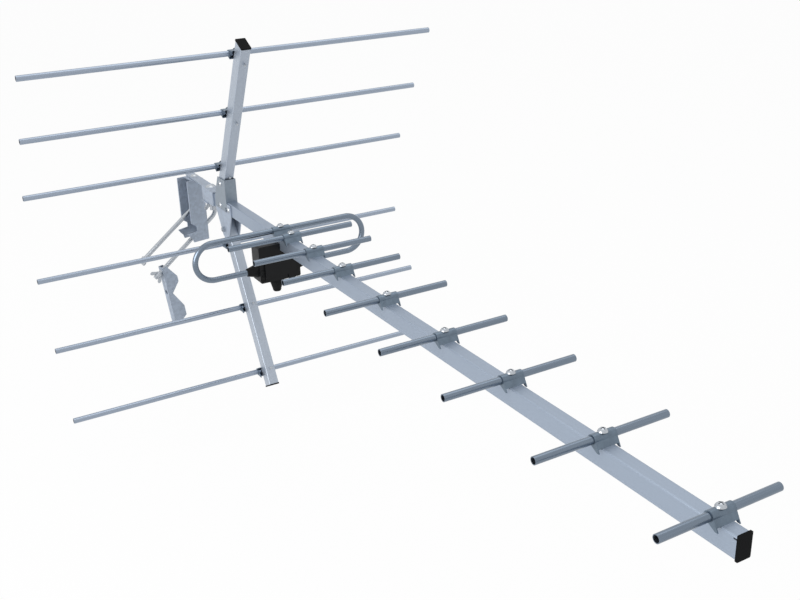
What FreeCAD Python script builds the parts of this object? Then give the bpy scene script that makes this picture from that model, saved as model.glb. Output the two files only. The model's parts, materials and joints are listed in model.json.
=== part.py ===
"""Outdoor television antenna: a long rectangular boom with eight directors, a folded dipole with its
junction box, two slanted reflector arms with three rods each, and a swivelling mast clamp.

Frame: X runs along the boom towards its front end, Y along the rods, Z up. The origin lies on the
swivel axis of the mast clamp, level with the middle of the gap between the legs of the U-bolt.
"""
import FreeCAD, Part
import Sketcher
import os
import re

SIZES = [
    # Boom
    ("boom_width", 15.0, "boom tube, across"),
    ("boom_height", 20.5, "boom tube, high"),
    ("boom_wall", 1.0, "wall of the boom and of the arms"),
    ("boom_round", 1.2, "outer corner radius of the tubes"),
    ("boom_top", 64.0, "top of the boom above the origin"),
    ("boom_rear", 60.0, "rear end of the boom, ahead of the swivel axis"),
    ("boom_length", 1135.0, "length of the boom tube"),
    ("cap_flange", 2.0, "thickness of the end caps' flanges"),
    ("cap_depth", 12.0, "how far an end cap goes into its tube"),
    ("slip", 0.1, "clearance of fitted pieces, each side"),
    ("cap_lip", 1.8, "cap flanges beyond the tube's wide faces"),
    ("snap_length", 3.2, "snap notch at the front end of the boom"),
    ("snap_height", 1.4, "height of the snap notch"),
    ("snap_drop", 1.5, "snap notch below the boom's top face"),
    # Rods
    ("rod_radius", 4.0, "outer radius of every rod and of the dipole"),
    ("rod_wall", 0.8, "wall of the rods"),
    ("director_inset", 24.8, "eighth director behind the front end of the boom"),
    ("director_1_share", 0.0439, "first director's place between the dipole and the eighth director"),
    ("director_2_share", 0.1289, "place of the second director"),
    ("director_3_share", 0.2295, "place of the third director"),
    ("director_4_share", 0.3675, "place of the fourth director"),
    ("director_5_share", 0.5196, "place of the fifth director"),
    ("director_6_share", 0.6662, "place of the sixth director"),
    ("director_7_share", 0.8324, "place of the seventh director"),
    ("director_8_share", 1.0, "place of the eighth director"),
    ("director_1_half", 92.0, "half length of the first director"),
    ("director_2_half", 84.6, "half length of the second director"),
    ("director_3_half", 81.7, "half length of the third director"),
    ("director_4_half", 80.7, "half length of the fourth director"),
    ("director_5_half", 79.8, "half length of the fifth director"),
    ("director_6_half", 78.6, "half length of the sixth director"),
    ("director_7_half", 75.2, "half length of the seventh director"),
    ("director_8_half", 65.5, "half length of the eighth director"),
    # Element clips and their screws
    ("clip_rise", 6.1, "rod axis above the face that carries the clip"),
    ("clip_sheet", 1.2, "sheet thickness of a clip"),
    ("clip_grip", 0.1, "gap between the rod and the clip's bend"),
    ("clip_half", 12.5, "half width of a clip along its rod"),
    ("clip_ear_drop", 3.4, "how far the ears reach down beside the tube"),
    ("clip_ear_front", 10.5, "front edge of the ears' tips, ahead of the rod"),
    ("clip_ear_tip", 2.6, "width of the ears' tips"),
    ("clip_shoulder", 2.5, "start of the ears' slanted edge below the rod axis"),
    ("screw_radius", 1.75, "shank radius of a clip screw"),
    ("screw_head", 4.9, "head radius of a clip screw"),
    ("screw_dome", 3.4, "head height of a clip screw"),
    ("screw_cross", 0.9, "width of the drive recess"),
    ("boom_screw_length", 18.0, "shank of the screws on the boom"),
    ("arm_screw_length", 35.5, "shank of the screws through the arms"),
    # Reflector
    ("arm_tilt", 28.5, "lean of the arms towards the front, in degrees"),
    ("arm_apex", 115.5, "where the line of the rods meets the boom's face"),
    ("arm_foot", 28.0, "start of an arm tube, along the arm"),
    ("arm_length", 265.0, "length of an arm tube"),
    ("arm_slot_length", 22.0, "slot in the foot of an arm"),
    ("arm_slot_width", 3.0, "width of that slot"),
    ("arm_rod_first", 60.0, "innermost reflector rod, along the arm"),
    ("arm_rod_inset", 24.6, "outermost reflector rod before the end of the arm"),
    ("upper_reflector_half", 306.0, "half length of an upper reflector rod"),
    ("lower_reflector_half", 299.0, "half length of a lower reflector rod"),
    ("upper_rod_shift", 7.0, "middle of the upper reflector rods beside the boom's middle plane"),
    # Saddle of the upper arm
    ("saddle_wall", 1.6, "sheet thickness of the saddle"),
    ("saddle_front", 168.0, "front face of the saddle"),
    ("saddle_rear", 120.0, "rear end of the saddle's cheeks"),
    ("saddle_rise", 35.0, "collar of the saddle above the boom"),
    ("saddle_drop", 16.0, "cheeks of the saddle beside the boom"),
    ("saddle_step", 6.0, "step of the cheeks behind the front face"),
    ("saddle_lip", 9.0, "cheeks at the front, below the boom's top"),
    ("saddle_bolt_x", 141.0, "cross bolt through the saddle and the boom"),
    ("collar_bolt_rise", 38.0, "cross bolt through the collar, along the arm"),
    # Bracket of the lower arm
    ("sheet", 1.5, "thickness of the galvanised sheet"),
    ("hanger_front", 182.0, "front edge of the lower arm's bracket"),
    ("hanger_bolt_x", 173.5, "cross bolt through the bracket and the boom"),
    ("hanger_bolt_rise", 40.0, "cross bolt through the lower arm, along the arm"),
    ("hanger_reach", 56.0, "end of the bracket's cheeks, along the arm"),
    ("cross_bolt_radius", 2.5, "shank radius of the cross bolts"),
    ("cross_bolt_head", 4.6, "head radius of the cross bolts"),
    ("cross_bolt_dome", 2.8, "head height of the cross bolts"),
    ("cross_nut_radius", 4.4, "nut of a cross bolt, across corners, halved"),
    ("cross_nut_height", 4.0, "height of that nut"),
    # Rear bracket
    ("plate", 2.0, "sheet thickness of the rear bracket and of the mast bracket"),
    ("tongue_end", 22.0, "rear end of the tongue behind the swivel axis"),
    ("tongue_half", 7.5, "half width of the tongue"),
    ("cheek_start", 62.0, "start of the rear bracket's cheeks"),
    ("cheek_end", 110.0, "front end of the rear bracket"),
    ("cheek_drop", 21.0, "cheeks below the boom's top face"),
    ("rear_bolt_x", 75.0, "vertical bolt through the rear bracket and the boom"),
    # Large bolts, washers and wing nuts
    ("bolt_radius", 3.6, "shank radius of the large bolts and of the U-bolt"),
    ("bolt_play", 0.05, "clearance between a nut's bore and its bolt"),
    ("hole_play", 0.3, "clearance of a hole around a bolt"),
    ("bolt_head", 7.4, "head radius of the large bolts"),
    ("bolt_dome", 3.2, "head height of the large bolts"),
    ("bolt_tail", 6.0, "bolt beyond its nut"),
    ("washer_half", 11.0, "half width of the square washer"),
    ("wing_hub", 5.6, "hub radius of a wing nut"),
    ("wing_height", 8.0, "hub height of a wing nut"),
    ("wing_span", 12.5, "wing tip from the nut's axis"),
    ("wing_rise", 12.5, "top of the wings above the seat"),
    ("wing_sheet", 2.2, "thickness of the wings"),
    ("nut_height", 5.0, "height of the swivel bolt's nut"),
    ("seat_gap", 0.2, "running gap between pieces that turn on each other"),
    # Mast clamp
    ("swivel_radius", 3.0, "shank radius of the swivel bolt"),
    ("swivel_head", 5.6, "head radius of the swivel bolt"),
    ("swivel_nut", 5.6, "nut of the swivel bolt, across corners, halved"),
    ("clamp_yaw", 80.0, "turn of the clamp about the swivel axis, in degrees"),
    ("web_back", 8.5, "outer face of the mast bracket's web behind the axis"),
    ("flange_reach", 23.0, "free edge of its flanges ahead of the axis"),
    ("bracket_half", 17.0, "half width of the mast bracket"),
    ("bracket_bottom", 41.5, "lower end of the mast bracket below the origin"),
    ("lug_reach", 11.0, "top lug ahead of the axis"),
    ("notch_reach", 13.2, "floor of the mast notch ahead of the axis"),
    ("notch_top", 8.5, "upper end of the notch's mouth below the origin"),
    ("notch_floor_top", 15.6, "upper end of the notch's floor below the origin"),
    ("notch_floor_low", 23.2, "lower end of the notch's floor below the origin"),
    ("tooth_reach", 31.4, "tip of the tooth under the notch ahead of the axis"),
    ("tooth_drop", 25.0, "tip of the tooth below the origin"),
    ("leg_pitch", 39.5, "distance between the legs of the U-bolt"),
    ("leg_length", 134.0, "legs of the U-bolt ahead of the web"),
    ("leg_back", 8.0, "start of the U-bolt's bow behind the web"),
    ("leg_droop", 34.0, "lean of the U-bolt in its slots, in degrees"),
    ("jaw_place", 117.0, "jaw along the lower leg, ahead of the web"),
    ("jaw_lean", 27.0, "lean of the hanging jaw against its leg, in degrees"),
    ("jaw_half", 7.0, "half width of the jaw"),
    ("jaw_depth", 21.5, "depth of the jaw's flanges"),
    ("jaw_above", 7.0, "jaw above its upper hole"),
    ("jaw_below", 100.0, "jaw below its upper hole"),
    ("jaw_root", 6.5, "depth of the flanges at the ends and in the notch"),
    ("jaw_hump", 21.0, "first hump below the upper hole"),
    ("jaw_hump_half", 5.0, "half width of the first hump's top"),
    ("jaw_notch", 43.0, "notch of the jaw below the upper hole"),
    ("jaw_hump_low", 81.0, "second hump below the upper hole"),
    ("jaw_hump_low_half", 9.0, "half width of the second hump's top"),
    # Dipole and junction box
    ("dipole_x", 350.0, "plane of the dipole"),
    ("dipole_half", 127.5, "half length of the dipole, to the tube's axis"),
    ("dipole_drop", 53.0, "lower run below the upper run"),
    ("dipole_gap", 9.0, "half of the feed gap"),
    ("box_left", 40.0, "side of the junction box on the gland's side, beside the middle plane"),
    ("box_right", 21.0, "other side of the junction box, beside the middle plane"),
    ("box_back", 14.0, "rear face of the box behind the dipole"),
    ("box_front", 8.0, "rim of the box's base ahead of the dipole"),
    ("box_top", 10.0, "top of the box below the boom's top face"),
    ("box_bottom", 63.5, "bottom of the box below the boom's top face"),
    ("box_wall", 2.2, "wall of the box"),
    ("box_round", 2.5, "rounding of the box's edges"),
    ("seal_thickness", 0.8, "thickness of the cover's seal"),
    ("cover_thickness", 2.6, "rim of the cover"),
    ("cover_rise", 3.0, "raised middle of the cover"),
    ("cover_border", 7.0, "width of the cover's rim"),
    ("latch_half", 5.0, "half width of the cover's latch"),
    ("latch_length", 7.0, "height of the latch"),
    ("boot_length", 15.0, "boot on the dipole beside the box"),
    ("boot_root", 9.5, "boot radius at the box"),
    ("boot_tip", 5.4, "boot radius at its tip"),
    ("gland_y", -12.0, "cable gland beside the middle of the box"),
    ("gland_radius", 11.0, "collar of the cable gland"),
    ("gland_collar", 4.0, "height of that collar"),
    ("gland_length", 15.0, "taper of the cable gland"),
    ("gland_tip", 5.2, "radius of the gland's tip"),
    ("gland_neck", 6.0, "radius of the gland's neck in the box"),
    ("cable_radius", 3.5, "bore of the gland for the cable"),
    ("board_left", 28.0, "edge of the terminal board on the gland's side"),
    ("board_height", 24.0, "height of the terminal board"),
    ("board_thickness", 1.6, "thickness of the terminal board"),
    ("terminal_y", 14.0, "terminal screws beside the middle"),
    ("terminal_radius", 1.5, "shank radius of a terminal screw"),
    ("terminal_head", 3.4, "head radius of a terminal screw"),
    ("terminal_dome", 1.8, "head height of a terminal screw"),
    ("anchor_radius", 1.75, "shank radius of the screw that holds the box"),
    ("anchor_head", 3.6, "head radius of the screw that holds the box"),
    ("anchor_length", 9.0, "shank of that screw"),
]

DIRECTOR_COUNT = 8
ARM_ROD_COUNT = 3

doc = FreeCAD.newDocument("tv_antenna")
sheet = doc.addObject("Spreadsheet::Sheet", "Sizes")
for line, (alias, value, meaning) in enumerate(SIZES, 1):
    sheet.set(f"A{line}", meaning)
    sheet.set(f"B{line}", str(value))
    sheet.setAlias(f"B{line}", alias)
doc.recompute()

ALIASES = {alias for alias, value, meaning in SIZES}
NODES = []


def formula(text):
    """A formula in plain size names, as the document's expression."""
    return re.sub(r"[a-z_][a-z_0-9]*", lambda m: f"Sizes.{m[0]}" if m[0] in ALIASES else m[0], str(text))


def bind(thing, **formulas):
    """Bind properties of an object to formulas."""
    for name, text in formulas.items():
        thing.setExpression(name, formula(text))
    return thing


def at(x=0, y=0, z=0, turn=None):
    """A placement formula: a point and, where given, a turn."""
    turn = turn or "rotation(vector(0;0;1);0)"
    return f"placement(vector({x};{y};{z});{turn})"


def about(x, y, z, angle):
    """A turn about an axis through the origin."""
    return f"rotation(vector({x};{y};{z});{angle})"


ALONG = {"x": about(0, 1, 0, 90), "y": about(1, 0, 0, -90), "z": None}


def block(x, y, z):
    """A box between two formulas on each axis."""
    item = doc.addObject("Part::Box", "Block")
    bind(item, Length=f"({x[1]})-({x[0]})", Width=f"({y[1]})-({y[0]})", Height=f"({z[1]})-({z[0]})")
    return bind(item, Placement=at(x[0], y[0], z[0]))


def cylinder(radius, length, x=0, y=0, z=0, axis="z"):
    """A cylinder that starts at a point and runs along an axis."""
    item = doc.addObject("Part::Cylinder", "Cylinder")
    return bind(item, Radius=radius, Height=length, Placement=at(x, y, z, ALONG[axis]))


def cone(first, second, length, x=0, y=0, z=0, turn=None):
    """A tapered round piece."""
    item = doc.addObject("Part::Cone", "Cone")
    return bind(item, Radius1=first, Radius2=second, Height=length, Placement=at(x, y, z, turn))


def half_ring(radius, tube, x, y, z, turn):
    """Half a ring of round section."""
    item = doc.addObject("Part::Torus", "HalfRing")
    item.Angle3 = 180
    return bind(item, Radius1=radius, Radius2=tube, Placement=at(x, y, z, turn))


def hexagon(radius, length, x=0, y=0, z=0, axis="z"):
    """A hexagonal bar that starts at a point and runs along an axis."""
    item = doc.addObject("Part::Prism", "Hexagon")
    item.Polygon = 6
    return bind(item, Circumradius=radius, Height=length, Placement=at(x, y, z, ALONG[axis]))


def slab(points, y):
    """An outline in the XZ plane, drawn as a sketch and extruded between two values of Y."""
    sketch = doc.addObject("Sketcher::SketchObject", "Outline")
    count = len(points)
    for i in range(count):
        start = FreeCAD.Vector(i, i * i, 0)
        sketch.addGeometry(Part.LineSegment(start, start + FreeCAD.Vector(1, 1 + i, 0)), False)
    for i in range(count):
        sketch.addConstraint(Sketcher.Constraint("Coincident", i, 2, (i + 1) % count, 1))
    for i, point in enumerate(points):
        for kind, text in zip(("DistanceX", "DistanceY"), point):
            number = sketch.addConstraint(Sketcher.Constraint(kind, -1, 1, i, 1, 1.0))
            sketch.setExpression(f"Constraints[{number}]", formula(text))
    bind(sketch, Placement=at(0, y[1], 0, about(1, 0, 0, 90)))
    item = doc.addObject("Part::Extrusion", "Slab")
    item.Base = sketch
    item.DirMode = "Normal"
    item.Solid = True
    return bind(item, LengthFwd=f"({y[1]})-({y[0]})")


def fuse(*parts):
    """One solid from several that touch or overlap."""
    item = doc.addObject("Part::MultiFuse", "Joined")
    item.Shapes = list(parts)
    return item


def cut(base, *tools):
    """A solid with others taken out of it."""
    item = doc.addObject("Part::Cut", "Cut")
    item.Base = base
    item.Tool = tools[0] if len(tools) == 1 else fuse(*tools)
    return item


def common(base, tool):
    """What two solids share."""
    item = doc.addObject("Part::Common", "Shared")
    item.Base = base
    item.Tool = tool
    return item


def rounded(base, radius, axis):
    """A block with its edges along one axis rounded."""
    doc.recompute()
    picked = []
    for number, edge in enumerate(base.Shape.Edges, 1):
        way = edge.tangentAt(edge.FirstParameter)
        if abs(getattr(way, axis)) > 0.999:
            picked.append((number, radius, radius))
    item = doc.addObject("Part::Fillet", "Rounded")
    item.Base = base
    item.Edges = picked
    return item


def copy(master, place):
    """A copy of a piece at another place."""
    item = doc.addObject("Part::Compound", "Copy")
    item.Links = [master]
    return bind(item, Placement=place)


def group(pieces):
    """Separate solids that share one node."""
    item = doc.addObject("Part::Compound", "Group")
    item.Links = list(pieces)
    return item


def node(label, item, place=None):
    """Name a finished sub-part and, where given, put it in its place."""
    if place:
        bind(item, Placement=place)
    item.Label = label
    NODES.append(item)
    return item


def size(name):
    """A size as a plain number."""
    return float(sheet.get(name))


def rect_tube(name, length):
    """A rectangular tube along Z, centred on its axis: wide in Y, high in X, with rounded corners."""
    body = doc.addObject("PartDesign::Body", name)
    plane = next(f for f in body.Origin.OriginFeatures if f.Role == "XY_Plane")

    def rectangle(label, shrink):
        sketch = body.newObject("Sketcher::SketchObject", label)
        sketch.AttachmentSupport = [(plane, "")]
        sketch.MapMode = "FlatFace"
        corners = [(-1, -1), (1, -1), (1, 1), (-1, 1)]
        for i in range(4):
            start, end = corners[i], corners[(i + 1) % 4]
            sketch.addGeometry(Part.LineSegment(FreeCAD.Vector(*start, 0), FreeCAD.Vector(*end, 0)), False)
        for i in range(4):
            sketch.addConstraint(Sketcher.Constraint("Coincident", i, 2, (i + 1) % 4, 1))
            sign = corners[i]
            offsets = (("DistanceX", sign[0], "boom_height"), ("DistanceY", sign[1], "boom_width"))
            for kind, way, across in offsets:
                number = sketch.addConstraint(Sketcher.Constraint(kind, -1, 1, i, 1, float(way)))
                sketch.setExpression(f"Constraints[{number}]", formula(f"{way}*({across}/2-{shrink})"))
        return sketch

    pad = body.newObject("PartDesign::Pad", "Wall")
    pad.Profile = rectangle("OuterOutline", "0")
    bind(pad, Length=length)
    doc.recompute()
    corners = [f"Edge{i}" for i, edge in enumerate(pad.Shape.Edges, 1)
               if abs(edge.tangentAt(edge.FirstParameter).z) > 0.999]
    fillet = body.newObject("PartDesign::Fillet", "Corners")
    fillet.Base = (pad, corners)
    bind(fillet, Radius="boom_round")
    pocket = body.newObject("PartDesign::Pocket", "Bore")
    pocket.Profile = rectangle("InnerOutline", "boom_wall")
    pocket.Type = "ThroughAll"
    pocket.Reversed = True
    body.Tip = pocket
    doc.recompute()
    return body


# Frames of the slanted and turned groups
UPPER_ARM = at("arm_apex", 0, "boom_top", about(0, 1, 0, "arm_tilt"))
LOWER_ARM = at("arm_apex", 0, "boom_top-boom_height", f"{about(1, 0, 0, 180)}*{about(0, 1, 0, 'arm_tilt')}")
CLAMP = at(turn=about(0, 0, 1, "-clamp_yaw"))
U_BOLT = f"{CLAMP}*{at('-web_back+plate/2', 0, 0, about(0, 1, 0, 'leg_droop'))}"
ARM_AXIS = "clip_rise+boom_height/2"

# Spans that several pieces share
FULL = ("-boom_width/2", "boom_width/2")
SLEEVE = ("-boom_width/2-slip", "boom_width/2+slip")
BOOM_AXIS = "boom_top-boom_height/2"


def pan_head(radius, height, cross):
    """A domed screw head on the XY plane with a cross recess."""
    dome = f"(({radius})*({radius})+({height})*({height}))/(2*({height}))"
    ball = doc.addObject("Part::Sphere", "Dome")
    bind(ball, Radius=dome, Placement=at(0, 0, f"({height})-{dome}"))
    head = common(cylinder(radius, height), ball)
    if not cross:
        return head
    reach = f"({radius})*0.55"
    floor = f"({height})*0.45"
    bars = [block((f"-{reach}", reach), (f"-({cross})/2", f"({cross})/2"), (floor, f"2*({height})")),
            block((f"-({cross})/2", f"({cross})/2"), (f"-{reach}", reach), (floor, f"2*({height})"))]
    return cut(head, *bars)


def screw(head, dome, shank, length, cross):
    """A domed screw: its head's seat on the XY plane, its shank below."""
    return fuse(pan_head(head, dome, cross), cylinder(shank, length, 0, 0, f"-({length})"))


def element_clip():
    """The pressed clip that holds a rod on a tube. The rod's axis is Y and the tube lies below."""
    bend = "rod_radius+clip_grip"
    outer = f"{bend}+clip_sheet"
    outside = ("-clip_half", "clip_half")
    inside = ("-clip_half+clip_sheet", "clip_half-clip_sheet")
    tip = "-clip_rise-clip_ear_drop"
    foot = f"{outer}+(clip_ear_front-({outer}))*clip_rise/(clip_rise+clip_ear_drop)"
    outline = [(f"-({outer})", "0"), (outer, "0"), ("clip_ear_front", tip),
               ("clip_ear_front-clip_ear_tip", tip), (f"-({outer})", "-clip_shoulder")]
    barrel = cylinder(outer, "2*clip_half", 0, "-clip_half", 0, "y")
    ears = cut(fuse(slab(outline, outside), barrel),
               block((f"-2*({outer})", "2*clip_ear_front"), inside, (f"2*({tip})", f"2*({outer})")))
    roof = common(barrel, block((f"-({outer})", outer), outside, ("0", outer)))
    front = slab([(bend, "0"), (outer, "0"), (foot, "-clip_rise"), (f"{foot}-clip_sheet", "-clip_rise")],
                 outside)
    rear = block((f"-({outer})", f"-({bend})"), outside, ("-clip_rise", "0"))
    hollow = cylinder(bend, "4*clip_half", 0, "-2*clip_half", 0, "y")
    hole = cylinder("screw_radius", "2*clip_sheet", 0, 0, f"{bend}-0.5*clip_sheet")
    return cut(fuse(ears, roof, front, rear), hollow, hole)


def rod(low, high):
    """A rod along Y between two ends: a thin tube with a hole for the screw of its clip."""
    length = f"({high})-({low})"
    return cut(cylinder("rod_radius", length, 0, low, 0, "y"),
               cylinder("rod_radius-rod_wall", length, 0, low, 0, "y"),
               cylinder("screw_radius", "4*rod_radius", 0, 0, "-2*rod_radius"))


def tube_cap():
    """The end cap of a rectangular tube: a flange above the XY plane and a plug below it."""
    flange = rounded(block(("-boom_height/2-cap_lip", "boom_height/2+cap_lip"), FULL, (0, "cap_flange")),
                     size("boom_round"), "z")
    inner_x = "boom_height/2-boom_wall"
    inner_y = "boom_width/2-boom_wall"
    plug = block((f"-({inner_x})", inner_x), (f"-({inner_y})", inner_y), ("-cap_depth", 0))
    core = block((f"-({inner_x})+boom_wall", f"{inner_x}-boom_wall"),
                 (f"-({inner_y})+boom_wall", f"{inner_y}-boom_wall"), ("-2*cap_depth", "-cap_flange"))
    return cut(fuse(flange, plug), core)


def cross_bolt(span):
    """A bolt along Y through a span, with its head at the low end and its nut at the high end."""
    length = f"({span[1]})-({span[0]})"
    shank = f"{length}+cross_nut_height+1"
    head = screw("cross_bolt_head", "cross_bolt_dome", "cross_bolt_radius", shank, "screw_cross")
    bolt = copy(head, at(0, span[0], 0, about(1, 0, 0, 90)))
    nut = cut(hexagon("cross_nut_radius", "cross_nut_height", 0, span[1], 0, "y"),
              cylinder("cross_bolt_radius", "2*cross_nut_height", 0, span[1], 0, "y"))
    return [bolt, nut]


# Masters of the repeated pieces
CLIP = element_clip()
BOOM_SCREW = screw("screw_head", "screw_dome", "screw_radius", "boom_screw_length", "screw_cross")
ARM_SCREW = screw("screw_head", "screw_dome", "screw_radius", "arm_screw_length", "screw_cross")
CAP = tube_cap()

screws = []


def station(i):
    """The place of a director along the boom."""
    return f"dipole_x+(boom_rear+boom_length-director_inset-dipole_x)*director_{i}_share"


def mount_rod(label, half, place, shift="0"):
    """A rod at a place, with its middle moved along it."""
    node(label, rod(f"{shift}-{half}", f"{shift}+{half}"), place)


def mount_clip(label, fastener, place):
    """A clip with its screw at a rod's place."""
    node(label, copy(CLIP, place))
    screws.append(copy(fastener, f"{place}*{at(0, 0, 'rod_radius+clip_grip+clip_sheet')}"))


def boom():
    """The boom tube with its front snap notches, screw holes and bolt holes."""
    tube = rect_tube("BoomTube", "boom_length")
    bind(tube, Placement=at("boom_rear", 0, BOOM_AXIS, about(0, 1, 0, 90)))
    tools = []
    for place in [station(i) for i in range(1, DIRECTOR_COUNT + 1)] + ["dipole_x"]:
        tools.append(cylinder("screw_radius", "2*boom_wall", place, 0, "boom_top-1.5*boom_wall"))
    front = "boom_rear+boom_length"
    drop = "boom_top-snap_drop"
    tools.append(block((f"{front}-snap_length", f"{front}+1"), ("-boom_width", "boom_width"),
                       (f"{drop}-snap_height", drop)))
    tools.append(cylinder("bolt_radius+hole_play", "2*boom_height", "rear_bolt_x", 0,
                          "boom_top-1.5*boom_height"))
    for x in ("saddle_bolt_x", "hanger_bolt_x"):
        tools.append(cylinder("cross_bolt_radius", "2*boom_width", x, "-boom_width", BOOM_AXIS, "y"))
    tools.append(cylinder("anchor_radius", "2*boom_wall", "dipole_x", 0,
                          "boom_top-boom_height-0.5*boom_wall"))
    node("boom", cut(tube, *tools))
    node("boom_front_cap", copy(CAP, at(front, 0, BOOM_AXIS, about(0, 1, 0, 90))))


def directors():
    """The eight directors with their clips."""
    for i in range(1, DIRECTOR_COUNT + 1):
        place = at(station(i), 0, "boom_top+clip_rise")
        mount_rod(f"director_{i}", f"director_{i}_half", place)
        mount_clip(f"director_clip_{i}", BOOM_SCREW, place)


def reflector():
    """Two slanted arms, each with a cap and three rods in clips on its rear face."""
    pitch = f"(arm_foot+arm_length-arm_rod_inset-arm_rod_first)/{ARM_ROD_COUNT - 1}"
    for name, frame, shift in (("upper", UPPER_ARM, "upper_rod_shift"), ("lower", LOWER_ARM, "0")):
        tube = rect_tube(f"{name.title()}ArmTube", "arm_length")
        bind(tube, Placement=at(ARM_AXIS, 0, "arm_foot"))
        slot_x = "clip_rise+boom_height-boom_wall-slip"
        tools = [block((f"{slot_x}-arm_slot_width", slot_x), ("-boom_width", "boom_width"),
                       ("arm_foot-1", "arm_foot+arm_slot_length"))]
        bolt_rise = "collar_bolt_rise" if name == "upper" else "hanger_bolt_rise"
        tools.append(cylinder("cross_bolt_radius", "2*boom_width", ARM_AXIS, "-boom_width", bolt_rise, "y"))
        for i in range(ARM_ROD_COUNT):
            rise = f"arm_rod_first+{i}*{pitch}"
            tools.append(cylinder("screw_radius", "2*boom_height", 0, 0, rise, "x"))
            place = f"{frame}*{at(0, 0, rise, about(0, 1, 0, -90))}"
            mount_rod(f"{name}_reflector_rod_{i + 1}", f"{name}_reflector_half", place, shift)
            mount_clip(f"{name}_reflector_clip_{i + 1}", ARM_SCREW, place)
        node(f"{name}_arm", cut(tube, *tools), frame)
        node(f"{name}_arm_cap", copy(CAP, f"{frame}*{at(ARM_AXIS, 0, 'arm_foot+arm_length')}"))


def arm_saddle():
    """The bent sheet saddle of the upper arm: two cheeks on the arm and the boom, and a web in front."""
    half = "boom_width/2+slip+saddle_wall"
    top = "boom_top+saddle_rise"
    rear_top = "arm_apex+tan(arm_tilt)*saddle_rise+(clip_rise-slip-saddle_wall)/cos(arm_tilt)"
    rear_foot = "arm_apex+(clip_rise-slip-saddle_wall)/cos(arm_tilt)"
    outline = [("saddle_front", top), (rear_top, top), (rear_foot, "boom_top"),
               ("saddle_rear", "boom_top-saddle_drop"), ("saddle_front-saddle_step", "boom_top-saddle_drop"),
               ("saddle_front-saddle_step", "boom_top-saddle_lip"), ("saddle_front", "boom_top-saddle_lip")]
    solid = slab(outline, (f"-({half})", half))
    channel = block((0, "2*saddle_front"), SLEEVE, ("boom_top-2*boom_height", "boom_top"))
    hollow = block((0, "saddle_front-saddle_wall"), SLEEVE,
                   ("boom_top-boom_height", "boom_top+2*saddle_rise"))
    collar_hole = copy(cylinder("cross_bolt_radius", "4*boom_width", ARM_AXIS, "-2*boom_width",
                                "collar_bolt_rise", "y"), UPPER_ARM)
    boom_hole = cylinder("cross_bolt_radius", "4*boom_width", "saddle_bolt_x", "-2*boom_width",
                         BOOM_AXIS, "y")
    node("arm_saddle", cut(solid, channel, hollow, collar_hole, boom_hole))
    bolt = cross_bolt((f"-({half})", half))
    pieces = [copy(part, at("saddle_bolt_x", 0, BOOM_AXIS)) for part in bolt]
    pieces += [copy(part, f"{UPPER_ARM}*{at(ARM_AXIS, 0, 'collar_bolt_rise')}") for part in bolt]
    return pieces


def arm_hanger():
    """The galvanised bracket under the boom that carries the lower arm: two cheeks and a rear web."""
    inner = "boom_width/2+slip"
    outer = "boom_width/2+slip+sheet"
    clear = "boom_top-saddle_drop-4*slip"
    under = "boom_top-boom_height"
    front_x = "arm_apex+hanger_reach*sin(arm_tilt)+(clip_rise+boom_height)*cos(arm_tilt)"
    front_z = f"{under}-hanger_reach*cos(arm_tilt)+(clip_rise+boom_height)*sin(arm_tilt)"
    rear_x = "arm_apex+hanger_reach*sin(arm_tilt)+(clip_rise+boom_wall)*cos(arm_tilt)"
    rear_z = f"{under}-hanger_reach*cos(arm_tilt)+(clip_rise+boom_wall)*sin(arm_tilt)"
    heel = "arm_apex+(clip_rise-slip-sheet)/cos(arm_tilt)"
    step = "saddle_front+4*slip"
    outline = [("hanger_front", "boom_top-2*boom_wall"), ("hanger_front", under), (front_x, front_z),
               (rear_x, rear_z), (heel, f"{under}-sheet"), (heel, clear), (step, clear),
               (step, "boom_top-2*boom_wall")]
    cheeks = cut(slab(outline, (f"-({outer})", outer)),
                 block((0, "2*hanger_front"), (f"-({inner})", inner), ("-2*boom_top", "2*boom_top")))
    web = copy(block(("clip_rise-slip-sheet", "clip_rise-slip"), (f"-({outer})", outer),
                     ("arm_foot/2", "arm_rod_first-clip_ear_front-2")), LOWER_ARM)
    arm_hole = copy(cylinder("cross_bolt_radius", "4*boom_width", ARM_AXIS, "-2*boom_width",
                             "hanger_bolt_rise", "y"), LOWER_ARM)
    boom_hole = cylinder("cross_bolt_radius", "4*boom_width", "hanger_bolt_x", "-2*boom_width",
                         BOOM_AXIS, "y")
    node("arm_hanger", cut(fuse(cheeks, web), arm_hole, boom_hole))
    bolt = cross_bolt((f"-({outer})", outer))
    pieces = [copy(part, at("hanger_bolt_x", 0, BOOM_AXIS)) for part in bolt]
    pieces += [copy(part, f"{LOWER_ARM}*{at(ARM_AXIS, 0, 'hanger_bolt_rise')}") for part in bolt]
    return pieces


def wing_nut():
    """A wing nut on the XY plane: a tapered hub and two upswept wings."""
    def wing(side):
        outline = [("0", "1"), ("wing_hub+1", "2"), ("wing_span", "wing_rise-5"),
                   ("wing_span", "wing_rise-1.5"), ("wing_span-2", "wing_rise"),
                   ("wing_span-4", "wing_rise-1"), ("wing_hub-1", "wing_height-1"), ("0", "wing_height-1")]
        return slab([(f"{side}*({x})", z) for x, z in outline], ("-wing_sheet/2", "wing_sheet/2"))
    hub = cone("wing_hub", "wing_hub-1", "wing_height")
    bore = cylinder("bolt_radius+bolt_play", "4*wing_height", 0, 0, "-wing_height")
    return cut(fuse(hub, wing(1), wing(-1)), bore)


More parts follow.
